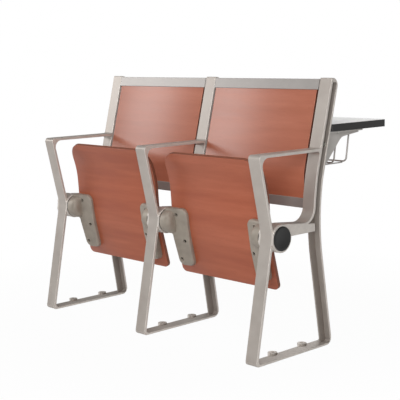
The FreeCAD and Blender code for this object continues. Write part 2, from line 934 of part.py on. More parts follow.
def seat_inserts(bay):
    """Threaded sleeves in the plywood that take the seat screws."""
    sleeves = []
    for x, side in seat_ends(bay):
        for distance_x, height in seat_screw_places():
            at, outward = screw_frame(x + side * distance_x, height)
            start = at - outward * insert_recess
            sleeve = Part.makeCylinder(insert_diameter / 2, insert_length, start, outward * -1)
            hole = Part.makeCylinder(screw_diameter / 2, insert_length, start, outward * -1)
            sleeves.append(sleeve.cut(hole))
    return sleeves


def insert_spaces(bay):
    spaces = []
    for x, side in seat_ends(bay):
        for distance_x, height in seat_screw_places():
            at, outward = screw_frame(x + side * distance_x, height)
            depth = insert_length + 2 * insert_recess
            start = at + outward * insert_recess
            spaces.append(Part.makeCylinder(insert_diameter / 2, depth, start, outward * -1))
    return spaces


# Backs and their rails

def back_front_path():
    """The front face of a back, from inside the bottom rail to inside the top rail."""
    inset = post_depth - back_recess
    low_z = bottom_rail_centre_z + bottom_rail_height / 2 - rail_slot_depth + panel_end_gap
    high_z = overall_height - top_rail_drop - top_rail_height + rail_slot_depth - panel_end_gap
    bend = point(post_y(back_bend_z, inset), back_bend_z)
    low = point(bend.y + (low_z - back_bend_z) * tangent(back_low_lean), low_z)
    high = point(post_y(high_z, inset), high_z)
    return [low, bend, high], [0, back_bend_radius, 0]


def back_panel(bay):
    left_x, right_x = bays[bay]
    points, radii = back_front_path()
    face = path_band(points, radii, 0, -back_thickness)
    return extrude(face, left_x + back_side_gap, right_x - back_side_gap)


def rail(bay, which):
    """A channel that holds the edge of a back, with a tab at each end that meets the frame's web."""
    left_x, right_x = bays[bay]
    points, radii = back_front_path()
    if which == "top":
        anchor = point(post_y(overall_height, post_depth - back_recess), overall_height)
        lean = post_lean
        above = -top_rail_drop
        below = top_rail_drop + top_rail_height
        slot_below = below + panel_end_gap
        slot_above = rail_slot_depth - below
        front_wall = back_recess
    else:
        rise = bottom_rail_centre_z - points[0].z
        anchor = point(points[0].y + rise * tangent(back_low_lean), bottom_rail_centre_z)
        lean = back_low_lean
        above = bottom_rail_height / 2
        below = bottom_rail_height / 2
        slot_below = rail_slot_depth - above
        slot_above = above + panel_end_gap
        front_wall = rail_wall
    low_x = left_x + half_flange + rail_end_gap
    high_x = right_x - half_flange - rail_end_gap
    body = leaning_box(anchor, lean, back_thickness + rail_wall, front_wall, below, above, low_x, high_x)
    long_edges = [edge for edge in body.Edges if edge.BoundBox.XLength > frame_spacing / 2]
    body = body.makeFillet(edge_round, long_edges)
    at = rail_bolt_axis(fixing_height(which))
    tabs = leaning_box(at, lean, tab_thickness / 2, tab_thickness / 2, tab_height / 2, tab_height / 2,
                       left_x + web_thickness / 2, right_x - web_thickness / 2)
    inner = leaning_box(at, lean, tab_thickness, tab_thickness, tab_height, tab_height,
                        low_x + tab_sink, high_x - tab_sink)
    slot = leaning_box(anchor, lean, back_thickness + slot_clearance, slot_clearance, slot_below, slot_above,
                       low_x, high_x)
    body = body.fuse(tabs.cut(inner)).cut(slot)
    for x, side in seat_ends(bay):
        low, high = between(x, side, 0, half_flange)
        body = body.cut(cylinder_x(rail_screw_diameter / 2, low, high, at.y, at.z))
    return body


def rail_screws():
    """The screws that enter the tabs from the outer sides of the end frames."""
    screws = []
    for name, side in (("left", 1), ("right", -1)):
        x = frame_x[name]
        for which in ("top", "bottom"):
            at = rail_bolt_axis(fixing_height(which))
            start = Vector(x - side * web_thickness / 2, at.y, at.z)
            outward = Vector(-side, 0, 0)
            depth = web_thickness + rail_screw_depth
            screws.append(button_screw(start, outward, 0, depth, rail_screw_diameter,
                                       rail_screw_head, screw_head_height))
    return screws


def rail_studs():
    """The studs through the middle frame, each with one end in the tab of either bay."""
    reach = web_thickness / 2 + rail_screw_depth
    places = [rail_bolt_axis(fixing_height(which)) for which in ("top", "bottom")]
    return [cylinder_x(rail_screw_diameter / 2, -reach, reach, at.y, at.z) for at in places]


# Writing desk

def desk_plan(inset, corner):
    low_x = -frame_spacing - desk_end_overhang + inset
    high_x = frame_spacing + desk_end_overhang - inset
    depth = desk_rear_y - desk_front_y - 2 * inset
    start = Vector(low_x, desk_front_y + inset, desk_low_z)
    block = Part.makeBox(high_x - low_x, depth, desk_thickness, start)
    return round_edges(block, corner, lambda edge: edge.BoundBox.ZLength > desk_thickness / 2)


def desk_board():
    board = desk_plan(desk_edge_band_thickness, desk_corner_radius - desk_edge_band_thickness)
    return board.cut(desk_screw_shapes() + rack_screw_shapes())


def desk_edge_band():
    inner = desk_plan(desk_edge_band_thickness, desk_corner_radius - desk_edge_band_thickness)
    return desk_plan(0, desk_corner_radius).cut(inner)


def desk_bracket(name):
    """A gusset behind the post, with a flange under the desk and one against the post."""
    x = frame_x[name]
    top_y = post_y(desk_low_z, 0)
    foot_y_here = post_y(desk_bracket_foot_z, 0)
    thick = desk_bracket_flange
    web = outline([
        (top_y, desk_low_z, 0),
        (desk_bracket_reach, desk_low_z, 0),
        (desk_bracket_reach, desk_low_z - gusset_tip_height, 0),
        (desk_bracket_reach - gusset_elbow_run, desk_low_z - gusset_elbow_drop, gusset_elbow_radius),
        (foot_y_here + gusset_foot_depth, desk_bracket_foot_z, 0),
        (foot_y_here, desk_bracket_foot_z, 0),
    ])
    body = extrude(web, -desk_bracket_web / 2, desk_bracket_web / 2)
    half = desk_bracket_width / 2
    top = outline([
        (top_y, desk_low_z, 0),
        (desk_bracket_reach, desk_low_z, 0),
        (desk_bracket_reach, desk_low_z - thick, 0),
        (post_y(desk_low_z - thick, 0), desk_low_z - thick, 0),
    ])
    across = thick / math.cos(math.radians(post_lean))
    rear = outline([
        (top_y, desk_low_z, 0),
        (top_y + across, desk_low_z, 0),
        (foot_y_here + across, desk_bracket_foot_z, 0),
        (foot_y_here, desk_bracket_foot_z, 0),
    ])
    body = body.fuse([extrude(top, -half, half), extrude(rear, -half, half)])
    body = body.cut(extrude(frame_silhouette(), -half_flange, half_flange))
    for offset in (-desk_bolt_offset, desk_bolt_offset):
        start, outward = desk_bolt_axis(0, offset)
        body = body.cut(desk_bolt_hole(start, outward))
    for at_y, offset in desk_screw_places():
        start = Vector(offset, at_y, desk_low_z - 2 * thick)
        body = body.cut(Part.makeCylinder(desk_screw_diameter / 2 + hole_clearance, 3 * thick, start))
    body.translate(Vector(x, 0, 0))
    return body


def desk_screw_places():
    """The y of each screw through the bracket's top flange, and its offset from the frame."""
    return [
        (desk_front_y + desk_screw_front_inset, desk_bolt_offset),
        (desk_bracket_reach - desk_screw_rear_inset, -desk_bolt_offset),
    ]


def desk_screw_shapes():
    screws = []
    for x in frame_x.values():
        for at_y, offset in desk_screw_places():
            start = Vector(x + offset, at_y, desk_low_z)
            screws.append(button_screw(start, Vector(0, 0, -1), desk_bracket_flange, desk_screw_depth,
                                       desk_screw_diameter, desk_screw_head_diameter, desk_screw_head_height))
    return screws


def bracket_bolts():
    bolts = []
    for x in frame_x.values():
        for offset in (-desk_bolt_offset, desk_bolt_offset):
            start, outward = desk_bolt_axis(x, offset)
            depth = back_flange_thickness + desk_nut_height + desk_bolt_past_nut
            bolts.append(button_screw(start, outward, desk_bracket_flange, depth, desk_bolt_diameter,
                                      desk_bolt_head_diameter, desk_bolt_head_height))
    return bolts


def bracket_nuts():
    """Nuts inside the post, on the front of its back flange."""
    nuts = []
    for x in frame_x.values():
        for offset in (-desk_bolt_offset, desk_bolt_offset):
            start, outward = desk_bolt_axis(x, offset)
            base = start - outward * back_flange_thickness
            nut = hexagon(base, outward * -1, desk_bolt_head_diameter, desk_nut_height)
            hole = Part.makeCylinder(desk_bolt_diameter / 2, desk_nut_height, base, outward * -1)
            nuts.append(nut.cut(hole))
    return nuts


def hexagon(base, way, across_flats, height):
    radius = across_flats / math.sqrt(3)
    side = Vector(1, 0, 0)
    other = way.cross(side).normalize()
    corners = []
    for index in range(7):
        angle = math.radians(60 * index + 30)
        corners.append(base + side * (radius * math.cos(angle)) + other * (radius * math.sin(angle)))
    return Part.Face(Part.makePolygon(corners)).extrude(way * height)


# Book racks

def bent_wire(points, radius, diameter):
    """A round wire along straight runs with equal bends."""
    edges = []
    start = points[0]
    for index in range(1, len(points) - 1):
        corner = points[index]
        back = (points[index - 1] - corner).normalize()
        ahead = (points[index + 1] - corner).normalize()
        angle = math.pi - back.getAngle(ahead)
        reach = radius * math.tan(angle / 2)
        first = corner + back * reach
        last = corner + ahead * reach
        middle = corner + (back + ahead).normalize() * (radius / math.cos(angle / 2) - radius)
        edges.append(Part.LineSegment(start, first).toShape())
        edges.append(Part.Arc(first, middle, last).toShape())
        start = last
    edges.append(Part.LineSegment(start, points[-1]).toShape())
    path = Part.Wire(edges)
    section = Part.Wire([Part.makeCircle(diameter / 2, points[0], points[1] - points[0])])
    return path.makePipeShell([section], True, False)


def rack_uprights():
    """For each long wire: its y at the bottom and at the desk."""
    return [(rack_front_y, rack_front_y + rack_flare), (rack_rear_y, rack_rear_y + rack_flare)]


def book_rack(bay):
    left_x, right_x = bays[bay]
    low_x = left_x + rack_end_gap
    high_x = right_x - rack_end_gap
    top_z = desk_low_z - rack_plate_thickness
    pieces = []
    for low_y, high_y in rack_uprights():
        points = [Vector(low_x, high_y, top_z), Vector(low_x, low_y, rack_bottom_z),
                  Vector(high_x, low_y, rack_bottom_z), Vector(high_x, high_y, top_z)]
        pieces.append(bent_wire(points, rack_bend_radius, rack_wire))
        for x in (low_x, high_x):
            corner = Vector(x - rack_plate_width / 2, high_y - rack_plate_length / 2, top_z)
            pieces.append(Part.makeBox(rack_plate_width, rack_plate_length, rack_plate_thickness, corner))
    inset = rack_bend_radius + rack_cross_inset
    pitch = (high_x - low_x - 2 * inset) / (rack_cross_count - 1)
    cross_z = rack_bottom_z - (rack_wire + rack_cross_wire) / 2 + rack_weld_sink
    start_y = rack_front_y - rack_cross_overhang
    end_y = rack_rear_y + rack_wire / 2
    for index in range(rack_cross_count):
        x = low_x + inset + index * pitch
        lip = Vector(x, start_y - rack_lip_reach, cross_z + rack_lip_height)
        points = [lip, Vector(x, start_y, cross_z), Vector(x, end_y, cross_z)]
        pieces.append(bent_wire(points, rack_lip_radius, rack_cross_wire))
    body = pieces[0].fuse(pieces[1:])
    return body.cut(rack_screw_shapes())


def rack_screw_shapes():
    screws = []
    for left_x, right_x in bays.values():
        for x in (left_x + rack_end_gap, right_x - rack_end_gap):
            for _, high_y in rack_uprights():
                for shift in (-rack_screw_pitch / 2, rack_screw_pitch / 2):
                    start = Vector(x, high_y + shift, desk_low_z)
                    screws.append(button_screw(start, Vector(0, 0, -1), rack_plate_thickness,
                                               rack_screw_depth, rack_screw_diameter,
                                               rack_screw_head_diameter, rack_screw_head_height))
    return screws


# Everything, by node name

def all_parts():
    parts = {}
    for name in frame_x:
        parts["side_frame_" + name] = [finished_frame(name)]
        parts["pivot_shaft_" + name] = [pivot_shaft(name)]
        parts["desk_bracket_" + name] = [desk_bracket(name)]
    parts["shaft_roll_pins"] = roll_pins()
    for name in ("left", "right"):
        parts["end_cap_" + name] = [end_cap(name)]
    spring_names = ["left_outer", "left_inner", "right_inner", "right_outer"]
    for (x, side), name in zip(hub_sides(), spring_names):
        parts["return_spring_" + name] = [return_spring(x, side)]
    parts["up_stop_buffers"] = stop_buffers("up")
    parts["down_stop_buffers"] = stop_buffers("down")
    parts["thrust_washers"] = thrust_washers()
    for bay in bays:
        panel = seat_panel(bay).cut(insert_spaces(bay))
        parts["seat_panel_" + bay] = [panel]
        for (x, side), end in zip(seat_ends(bay), ("l", "r")):
            parts["seat_bracket_" + bay + "_" + end] = [seat_bracket(x, side)]
        parts["pivot_bushes_" + bay] = pivot_bushes(bay)
        parts["seat_screws_" + bay] = seat_screws(bay)
        parts["seat_inserts_" + bay] = seat_inserts(bay)
        parts["back_panel_" + bay] = [back_panel(bay)]
        parts["top_rail_" + bay] = [rail(bay, "top")]
        parts["bottom_rail_" + bay] = [rail(bay, "bottom")]
        parts["book_rack_" + bay] = [book_rack(bay)]
    parts["rail_screws"] = rail_screws()
    parts["rail_studs"] = rail_studs()
    parts["desk_board"] = [desk_board()]
    parts["desk_edge_band"] = [desk_edge_band()]
    parts["bracket_bolts"] = bracket_bolts()
    parts["bracket_nuts"] = bracket_nuts()
    parts["desk_screws"] = desk_screw_shapes()
    parts["rack_screws"] = rack_screw_shapes()
    return parts


def main():
    os.makedirs("parts", exist_ok=True)
    for name, shapes in all_parts().items():
        shape = shapes[0] if len(shapes) == 1 else Part.makeCompound(shapes)
        shape.translate(centre * -1)
        shape.exportStep("parts/" + name + ".step")
        print(name, len(shape.Solids), round(shape.Volume), shape.isValid())


main()
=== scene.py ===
import json
import math

import bmesh
import bpy
from mathutils import Matrix, Vector


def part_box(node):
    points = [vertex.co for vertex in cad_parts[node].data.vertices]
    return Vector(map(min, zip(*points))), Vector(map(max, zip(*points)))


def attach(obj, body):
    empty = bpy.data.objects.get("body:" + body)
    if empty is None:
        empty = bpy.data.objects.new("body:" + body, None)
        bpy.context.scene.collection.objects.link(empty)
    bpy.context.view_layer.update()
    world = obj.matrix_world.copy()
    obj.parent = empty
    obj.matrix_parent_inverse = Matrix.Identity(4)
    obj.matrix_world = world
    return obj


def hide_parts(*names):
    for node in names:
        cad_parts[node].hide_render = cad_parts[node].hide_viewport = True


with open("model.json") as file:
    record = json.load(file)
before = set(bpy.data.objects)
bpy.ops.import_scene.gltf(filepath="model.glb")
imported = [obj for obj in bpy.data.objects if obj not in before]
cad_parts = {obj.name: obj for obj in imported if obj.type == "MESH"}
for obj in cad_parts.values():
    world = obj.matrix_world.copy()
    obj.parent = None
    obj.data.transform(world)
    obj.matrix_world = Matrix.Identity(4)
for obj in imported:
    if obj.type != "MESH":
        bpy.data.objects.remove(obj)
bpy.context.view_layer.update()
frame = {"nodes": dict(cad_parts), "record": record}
print("frame loaded:", len(frame["nodes"]), "nodes")

mm = 0.001
tiny = 1e-6  # in metres; points nearer than this are one point
bayNames = ("left", "right")
frameSpacing = 550 * mm
pivotDepth, pivotHeight = 120, 406  # from the toes of the frames, in millimetres
shaftLow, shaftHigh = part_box("pivot_shaft_middle")
shaftCentre = (shaftLow + shaftHigh) / 2
footCentre = Vector((shaftCentre.x, shaftCentre.y - pivotDepth * mm, 0))  # the toe of the middle frame


def atToe(y, z):
    # a depth behind the toes of the frames and a height, in millimetres
    return Vector((footCentre.x, y * mm + footCentre.y, z * mm))


# Nodes and colours

def linearColour(code):
    # colours are written as sRGB hex, and shaders take linear values
    values = [int(code[i:i + 2], 16) / 255 for i in (1, 3, 5)]
    linear = [v / 12.92 if v <= 0.04045 else ((v + 0.055) / 1.055) ** 2.4 for v in values]
    return (*linear, 1.0)


def addNode(tree, kind, settings=None, links=None):
    # a setting is an input, by name or number, the stops of a colour ramp, or a property of the node
    node = tree.nodes.new(kind)
    for key, value in (settings or {}).items():
        if key == "stops":
            elements = node.color_ramp.elements
            while len(elements) < len(value):
                elements.new(0.5)
            for element, (position, code) in zip(elements, value):
                element.position = position
                element.color = linearColour(code)
        elif isinstance(key, int) or key in node.inputs:
            node.inputs[key].default_value = value
        else:
            setattr(node, key, value)
    for key, source in (links or {}).items():
        tree.links.new(source, node.inputs[key])
    return node


def startMaterial(name, look):
    material = bpy.data.materials.new(name)
    material.use_nodes = True
    tree = material.node_tree
    tree.nodes.clear()
    shader = addNode(tree, "ShaderNodeBsdfPrincipled", look)
    addNode(tree, "ShaderNodeOutputMaterial", links={"Surface": shader.outputs[0]})
    return material, tree, shader


def giveFeel(tree, shader, skin, roughness, gloss, height):
    # one pattern makes the surface smoother and rougher, and another one raises it
    smoother, rougher = skin["glossSpread"]
    spread = {"To Min": roughness - smoother, "To Max": roughness + rougher}
    dull = addNode(tree, "ShaderNodeMapRange", spread, {"Value": gloss})
    tree.links.new(dull.outputs[0], shader.inputs["Roughness"])
    relief = {"Strength": skin["bump"], "Distance": skin["bumpDepth"] * mm}
    bump = addNode(tree, "ShaderNodeBump", relief, {"Height": height})
    tree.links.new(bump.outputs[0], shader.inputs["Normal"])


# Powder coat: sprayed and baked polyester over a casting or tube. It gives the eye a dull even
# sheen and a slight orange peel. On the frames the rims and side faces of the flanges carry a
# painted highlight, partly edge wear where the coat thins, and the recess between them carries
# painted shade. Sizes are in millimetres here and in the finishes that follow.

coatSkin = {"glossSpread": (0.05, 0.07), "bump": 0.16, "bumpDepth": 0.12}
# painted highlight and edge wear for the rims of the flanges, and painted shade for the recess between them
frameLightAndWear = {"chipSize": 18, "chipPattern": (0.35, 0.65), "chipCover": (0.7, 0.95),
             "sideways": (0.7, 0.95), "shadeFrom": 18, "shadeTo": 8}


def paintFrameLightAndWear(tree, coat, place, body):
    # the distance from the middle of the nearest frame, along the row
    split = addNode(tree, "ShaderNodeSeparateXYZ", links={"Vector": place})
    shift = addNode(tree, "ShaderNodeMath", {"operation": "SUBTRACT", 1: footCentre.x},
                    {0: split.outputs["X"]})
    across = addNode(tree, "ShaderNodeMath", {"operation": "PINGPONG", 1: frameSpacing / 2},
                     {0: shift.outputs[0]})
    # painted highlight, partly edge wear: the rims of the flanges and the side faces outside them are
    # painted paler, in some patches more than in others
    rim = addNode(tree, "ShaderNodeMapRange",
                  {"From Min": coat["edgeFrom"] * mm, "From Max": coat["edgeTo"] * mm},
                  {"Value": across.outputs[0]})
    chips = addNode(tree, "ShaderNodeTexNoise", {"Scale": 1 / (frameLightAndWear["chipSize"] * mm), "Detail": 4.0},
                    {"Vector": place})
    low, high = frameLightAndWear["chipPattern"]
    least, most = frameLightAndWear["chipCover"]
    chipped = addNode(tree, "ShaderNodeMapRange",
                      {"From Min": low, "From Max": high, "To Min": least, "To Max": most},
                      {"Value": chips.outputs["Fac"]})
    rimHighlightAndWear = addNode(tree, "ShaderNodeMath", {"operation": "MULTIPLY"},
                   {0: rim.outputs[0], 1: chipped.outputs[0]})
    withRimHighlight = addNode(tree, "ShaderNodeMix", {"data_type": "RGBA", 7: linearColour(coat["rimHighlightColour"])},
                   {0: rimHighlightAndWear.outputs[0], 6: body})
    # painted shade: faces that look along the row, well inside the rims, in the recess between the flanges
    # are painted darker
    normal = addNode(tree, "ShaderNodeNewGeometry").outputs["True Normal"]
    facing = addNode(tree, "ShaderNodeSeparateXYZ", links={"Vector": normal})
    sideways = addNode(tree, "ShaderNodeMath", {"operation": "ABSOLUTE"}, {0: facing.outputs["X"]})
    low, high = frameLightAndWear["sideways"]
    flatSide = addNode(tree, "ShaderNodeMapRange", {"From Min": low, "From Max": high},
                       {"Value": sideways.outputs[0]})
    deep = addNode(tree, "ShaderNodeMapRange",
                   {"From Min": frameLightAndWear["shadeFrom"] * mm, "From Max": frameLightAndWear["shadeTo"] * mm},
                   {"Value": across.outputs[0]})
    recessShade = addNode(tree, "ShaderNodeMath", {"operation": "MULTIPLY"},
                   {0: flatSide.outputs[0], 1: deep.outputs[0]})
    withRecessShade = addNode(tree, "ShaderNodeMix", {"data_type": "RGBA", 7: linearColour(coat["recessShadeColour"])},
                    {0: recessShade.outputs[0], 6: withRimHighlight.outputs[2]})
    return withRecessShade.outputs[2]


def powderCoat(name, coat):
    look = {"Metallic": coat["metallic"], "Roughness": coat["roughness"]}
    material, tree, shader = startMaterial(name, look)
    place = addNode(tree, "ShaderNodeTexCoord").outputs["Object"]
    cloud = addNode(tree, "ShaderNodeTexNoise", {"Scale": 1 / (coat["cloudSize"] * mm), "Detail": 3.0},
                    {"Vector": place})
    tone = addNode(tree, "ShaderNodeValToRGB", {"stops": [(0.3, coat["dark"]), (0.7, coat["light"])]},
                   {"Fac": cloud.outputs["Fac"]})
    body = tone.outputs["Color"]
    if "rimHighlightColour" in coat:
        body = paintFrameLightAndWear(tree, coat, place, body)
    tree.links.new(body, shader.inputs["Base Color"])
    peel = addNode(tree, "ShaderNodeTexNoise", {"Scale": 1 / (coat["peelSize"] * mm), "Detail": 2.0},
                   {"Vector": place})
    giveFeel(tree, shader, coatSkin, coat["roughness"], cloud.outputs["Fac"], peel.outputs["Fac"])
    return material


# on the frames the rim colour is a painted highlight, partly edge wear, and the recess colour is painted
# shade
frameCoat = {"dark": "#b6ada5", "light": "#c1b9b1", "metallic": 0.25, "roughness": 0.42,
             "cloudSize": 60, "peelSize": 2.5,
             "rimHighlightColour": "#e1d9d1", "edgeFrom": 23.3, "edgeTo": 23.9, "recessShadeColour": "#8f857d"}
gussetCoat = {"dark": "#c2bdb7", "light": "#cfcac5", "metallic": 0.1, "roughness": 0.45,
              "cloudSize": 50, "peelSize": 2.2}
railCoat = {"dark": "#9f9a96", "light": "#a9a4a0", "metallic": 0.3, "roughness": 0.38,
            "cloudSize": 80, "peelSize": 2.0}
castingCoat = {"dark": "#9d9387", "light": "#ada396", "metallic": 0.15, "roughness": 0.48,
               "cloudSize": 30, "peelSize": 2.8}
wireCoat = {"dark": "#bcb8b4", "light": "#cbc7c3", "metallic": 0.3, "roughness": 0.36,
            "cloudSize": 40, "peelSize": 1.6}


# Sliced cherry veneer on moulded birch plywood, under satin lacquer. It gives the eye long level
# streaks, a slow drift of tone, short dark pores and, on the edge, the stripes of the plies. A
# real streak is under 1 mm wide, drawn wider here to show.

veneerSkin = {"glossSpread": (0.06, 0.08), "bump": 0.12, "bumpDepth": 0.2, "coatRoughness": 0.28,
              "drift": {"length": 1500, "width": 75, "detail": 1.5, "distortion": 0.4},
              "streak": {"length": 190, "detail": 4.0, "distortion": 0.25},
              "pore": {"length": 34, "width": 2.4, "detail": 2.0, "distortion": 0.0},
              "streakShare": 0.38, "toneStops": (0.36, 0.50, 0.64),
              "porePattern": (0.60, 0.72), "poreCover": 0.35, "skinFrom": 0.5, "skinTo": 0.9}


def cherryVeneer(name, veneer):
    look = {"Coat Weight": veneer["lacquer"], "Coat Roughness": veneerSkin["coatRoughness"],
            "Specular IOR Level": veneer["shine"], "IOR": 1.5}
    material, tree, shader = startMaterial(name, look)
    flat = addNode(tree, "ShaderNodeAttribute", {"attribute_name": "flat"}).outputs["Vector"]
    split = addNode(tree, "ShaderNodeSeparateXYZ", links={"Vector": flat})

    def grain(length, width, detail, distortion):
        scale = (1 / (length * mm), 1 / (width * mm), 1.0)
        scaled = addNode(tree, "ShaderNodeMapping", {"Scale": scale}, {"Vector": flat})
        noise = addNode(tree, "ShaderNodeTexNoise",
                        {"Scale": 1.0, "Detail": detail, "Distortion": distortion},
                        {"Vector": scaled.outputs[0]})
        return noise.outputs["Fac"]

    drift = grain(**veneerSkin["drift"])
    streak = grain(width=veneer["streakWidth"], **veneerSkin["streak"])
    pores = grain(**veneerSkin["pore"])
    blend = addNode(tree, "ShaderNodeMix", {"data_type": "FLOAT", 0: veneerSkin["streakShare"]},
                    {2: drift, 3: streak})
    tones = list(zip(veneerSkin["toneStops"], (veneer["dark"], veneer["middle"], veneer["light"])))
    face = addNode(tree, "ShaderNodeValToRGB", {"stops": tones}, {"Fac": blend.outputs[0]})
    low, high = veneerSkin["porePattern"]
    poreDepth = addNode(tree, "ShaderNodeMapRange",
                        {"From Min": low, "From Max": high, "To Max": veneerSkin["poreCover"]},
                        {"Value": pores})
    speckled = addNode(tree, "ShaderNodeMix", {"data_type": "RGBA", 7: linearColour(veneer["pore"])},
                       {0: poreDepth.outputs[0], 6: face.outputs["Color"]})

    # the third value of the flat place is the depth in the sheet: plies show where it is inside
    depth = addNode(tree, "ShaderNodeMath", {"operation": "MULTIPLY", 1: 1 / (veneer["plyThickness"] * mm)},
                    {0: split.outputs["Z"]})
    stripe = addNode(tree, "ShaderNodeMath", {"operation": "PINGPONG", 1: 1.0}, {0: depth.outputs[0]})
    edge = addNode(tree, "ShaderNodeValToRGB",
                   {"stops": [(0.25, veneer["plyLight"]), (0.75, veneer["plyDark"])]},
                   {"Fac": stripe.outputs[0]})
    thickness, skinFrom, skinTo = veneer["thickness"], veneerSkin["skinFrom"], veneerSkin["skinTo"]
    inner = addNode(tree, "ShaderNodeMapRange", {"From Min": skinFrom * mm, "From Max": skinTo * mm},
                    {"Value": split.outputs["Z"]})
    outer = addNode(tree, "ShaderNodeMapRange",
                    {"From Min": (thickness - skinFrom) * mm, "From Max": (thickness - skinTo) * mm},
                    {"Value": split.outputs["Z"]})
    inside = addNode(tree, "ShaderNodeMath", {"operation": "MULTIPLY"},
                     {0: inner.outputs[0], 1: outer.outputs[0]})
    whole = addNode(tree, "ShaderNodeMix", {"data_type": "RGBA"},
                    {0: inside.outputs[0], 6: speckled.outputs[2], 7: edge.outputs["Color"]})
    tree.links.new(whole.outputs[2], shader.inputs["Base Color"])
    height = addNode(tree, "ShaderNodeMath", {"operation": "SUBTRACT"}, {0: streak, 1: poreDepth.outputs[0]})
    giveFeel(tree, shader, veneerSkin, veneer["roughness"], streak, height.outputs[0])
    return material


seatVeneer = {"dark": "#ad5b40", "middle": "#b76447", "light": "#c16d50", "pore": "#a0523a",
              "plyLight": "#a9654c", "plyDark": "#6b3d2c", "streakWidth": 22, "roughness": 0.4,
              "lacquer": 0.15, "shine": 0.28, "thickness": 13, "plyThickness": 2.6}
backVeneer = {"dark": "#b3694f", "middle": "#bb7056", "light": "#c3785e", "pore": "#a66047",
              "plyLight": "#8a5440", "plyDark": "#4f2f24", "streakWidth": 24, "roughness": 0.38,
              "lacquer": 0.35, "shine": 0.4, "thickness": 12, "plyThickness": 2.4}


# Moulded plastics and rubber: pigment through the part, with the fine spark texture of the mould.

plasticSkin = {"glossSpread": (0.08, 0.08), "bump": 0.2, "bumpDepth": 0.1, "toneSize": 35}


def mouldedPlastic(name, plastic):
    material, tree, shader = startMaterial(name, {"Roughness": plastic["roughness"], "IOR": 1.49})
    place = addNode(tree, "ShaderNodeTexCoord").outputs["Object"]
    spark = addNode(tree, "ShaderNodeTexNoise", {"Scale": 1 / (plastic["sparkSize"] * mm), "Detail": 3.0},
                    {"Vector": place})
    tone = addNode(tree, "ShaderNodeTexNoise", {"Scale": 1 / (plasticSkin["toneSize"] * mm), "Detail": 2.0},
                   {"Vector": place})
    stops = [(0.3, plastic["dark"]), (0.7, plastic["light"])]
    colour = addNode(tree, "ShaderNodeValToRGB", {"stops": stops}, {"Fac": tone.outputs["Fac"]})
    tree.links.new(colour.outputs["Color"], shader.inputs["Base Color"])
    giveFeel(tree, shader, plasticSkin, plastic["roughness"], tone.outputs["Fac"], spark.outputs["Fac"])
    return material


capPlastic = {"dark": "#11100f", "light": "#171615", "roughness": 0.5, "sparkSize": 1.4}
edgingPlastic = {"dark": "#1d1c1c", "light": "#262524", "roughness": 0.4, "sparkSize": 1.6}
nylonPlastic = {"dark": "#d8d4c8", "light": "#e4e0d6", "roughness": 0.4, "sparkSize": 1.2}
bufferRubber = {"dark": "#1b1b1b", "light": "#242424", "roughness": 0.8, "sparkSize": 1.0}


# Plain and plated steel: turned, drawn or zinc plated. Lines of the tool or a faint crystal bloom.

steelSkin = {"glossSpread": (0.08, 0.1), "bump": 0.1, "bumpDepth": 0.05}


def turnedSteel(name, steel):
    material, tree, shader = startMaterial(name, {"Metallic": 1.0, "Roughness": steel["roughness"]})
    place = addNode(tree, "ShaderNodeTexCoord").outputs["Object"]
    scaled = addNode(tree, "ShaderNodeMapping", {"Scale": steel["stretch"]}, {"Vector": place})
    lines = addNode(tree, "ShaderNodeTexNoise", {"Scale": 1 / (steel["lineSize"] * mm), "Detail": 3.0},
                    {"Vector": scaled.outputs[0]})
    stops = [(0.3, steel["dark"]), (0.7, steel["light"])]
    colour = addNode(tree, "ShaderNodeValToRGB", {"stops": stops}, {"Fac": lines.outputs["Fac"]})
    tree.links.new(colour.outputs["Color"], shader.inputs["Base Color"])
    giveFeel(tree, shader, steelSkin, steel["roughness"], lines.outputs["Fac"], lines.outputs["Fac"])
    return material


evenly = (1.0, 1.0, 1.0)
around = (8.0, 1.0, 1.0)  # the lines of the grinding run round the shaft
shaftSteel = {"dark": "#a9aaac", "light": "#c3c4c6", "roughness": 0.3, "lineSize": 2.0, "stretch": around}
springSteel = {"dark": "#55585d", "light": "#75787d", "roughness": 0.35, "lineSize": 3.0, "stretch": evenly}
zincSteel = {"dark": "#a8a8a2", "light": "#c6c6c0", "roughness": 0.34, "lineSize": 3.0, "stretch": evenly}
blackOxide = {"dark": "#2a2827", "light": "#3d3a38", "roughness": 0.4, "lineSize": 2.0, "stretch": evenly}


# White melamine laminate on board: a hard smooth skin with the slightest pebble to break the shine.

deskSheet = {"dark": "#ecebe8", "light": "#f4f3f1", "roughness": 0.35, "pebbleSize": 2.5, "smearSize": 90,
             "glossSpread": (0.05, 0.1), "bump": 0.08, "bumpDepth": 0.05}


def whiteLaminate(name, sheet):
    material, tree, shader = startMaterial(name, {"Roughness": sheet["roughness"], "IOR": 1.5})
    place = addNode(tree, "ShaderNodeTexCoord").outputs["Object"]
    pebble = addNode(tree, "ShaderNodeTexNoise", {"Scale": 1 / (sheet["pebbleSize"] * mm), "Detail": 2.0},
                     {"Vector": place})
    smear = addNode(tree, "ShaderNodeTexNoise", {"Scale": 1 / (sheet["smearSize"] * mm), "Detail": 3.0},
                    {"Vector": place})
    stops = [(0.3, sheet["dark"]), (0.7, sheet["light"])]
    colour = addNode(tree, "ShaderNodeValToRGB", {"stops": stops}, {"Fac": smear.outputs["Fac"]})
    tree.links.new(colour.outputs["Color"], shader.inputs["Base Color"])
    giveFeel(tree, shader, sheet, sheet["roughness"], smear.outputs["Fac"], pebble.outputs["Fac"])
    return material


